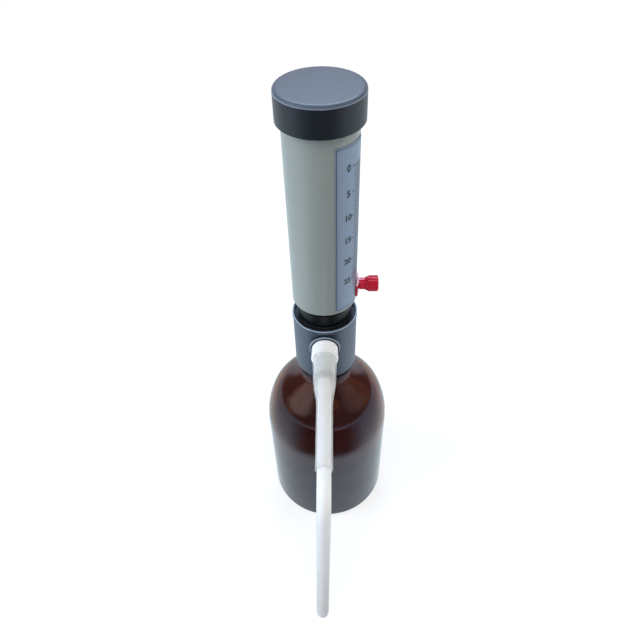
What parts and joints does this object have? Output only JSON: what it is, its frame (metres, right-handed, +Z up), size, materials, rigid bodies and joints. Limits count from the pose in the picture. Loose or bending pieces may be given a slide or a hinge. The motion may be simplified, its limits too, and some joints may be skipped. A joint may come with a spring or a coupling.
{
  "type": "bottle top dispenser",
  "caption": "Bottle top dispenser: amber bottle, valve block, piston in a slotted sleeve with a scale, red volume knob and bent spout.",
  "frame": {"origin": "centre of the bottle's base, on the plane it stands on (mount base)", "axes": "+Z up along the bottle's and piston's axis, -Y towards the spout, +X towards the volume slot and its knob"},
  "size_m": [0.082, 0.1722, 0.3128],
  "materials": {
    "amber_glass": "clear amber, gloss",
    "block_plastic": "blue grey, satin",
    "dark_plastic": "dark slate grey, satin",
    "sleeve_plastic": "pale grey green, gloss",
    "label_foil": "silver blue foil",
    "red_plastic": "translucent red",
    "clear_glass": "clear",
    "white_fluoropolymer": "white",
    "silicone": "translucent white",
    "spout_polymer": "milky, translucent",
    "ceramic_ball": "ground white",
    "steel": "drawn wire",
    "seal_rubber": "black"
  },
  "bodies": {
    "bottle": {"bottle": "amber_glass"},
    "head": {"neck_gasket": "seal_rubber", "valve_block": "block_plastic", "inlet_valve_seat": "white_fluoropolymer", "inlet_valve_cage": "white_fluoropolymer", "intake_tube": "white_fluoropolymer", "outlet_valve_seat": "white_fluoropolymer", "outlet_spring": "steel", "discharge_fitting": "white_fluoropolymer", "hose_sleeve": "silicone", "cylinder_seal": "seal_rubber", "glass_cylinder": "clear_glass", "collar_nut": "dark_plastic", "cylinder_head": "dark_plastic"},
    "inlet_ball": {"inlet_ball": "ceramic_ball"},
    "outlet_ball": {"outlet_ball": "ceramic_ball"},
    "spout": {"spout_tube": "spout_polymer"},
    "plunger": {"piston": "white_fluoropolymer", "piston_ring_lower": "seal_rubber", "piston_ring_upper": "seal_rubber", "piston_rod": "steel", "rod_disc": "dark_plastic", "cap": "dark_plastic"},
    "sleeve": {"sleeve": "sleeve_plastic", "scale_plate": "label_foil"},
    "selector": {"selector_shoe": "dark_plastic", "selector_pointer": "red_plastic", "selector_stud": "steel", "knob_washer": "steel"},
    "knob": {"selector_knob": "red_plastic"}
  },
  "joints": [
    {"name": "dispenser_lift", "type": "slide", "parent": "bottle", "child": "head", "axis": [0, 0, 1], "range_m": [0, 0.16]},
    {"name": "plunger_lift", "type": "slide", "parent": "head", "child": "plunger", "axis": [0, 0, 1], "range_m": [0, 0.0801]},
    {"name": "sleeve_turn", "type": "hinge", "parent": "plunger", "child": "sleeve", "pos_m": [0, 0, 0.25], "axis": [0, 0, 1], "continuous": true},
    {"name": "selector_slide", "type": "slide", "parent": "sleeve", "child": "selector", "axis": [0, 0, 1], "range_m": [0, 0.0801]},
    {"name": "knob_turn", "type": "hinge", "parent": "selector", "child": "knob", "pos_m": [0.025, 0, 0.2008], "axis": [1, 0, 0], "range_deg": [0, 270]},
    {"name": "inlet_ball_lift", "type": "slide", "parent": "head", "child": "inlet_ball", "axis": [0, 0, 1], "range_m": [0, 0.0014]},
    {"name": "outlet_ball_drop", "type": "slide", "parent": "head", "child": "outlet_ball", "axis": [0, 0, -1], "range_m": [0, 0.0011], "stiffness_N_per_m": 20, "springref_m": -0.002, "deforming": ["outlet_spring"]},
    {"name": "spout_turn", "type": "hinge", "parent": "head", "child": "spout", "pos_m": [0, -0.1, 0.1693], "axis": [0, -1, 0], "range_deg": [-90, 90]}
  ]
}
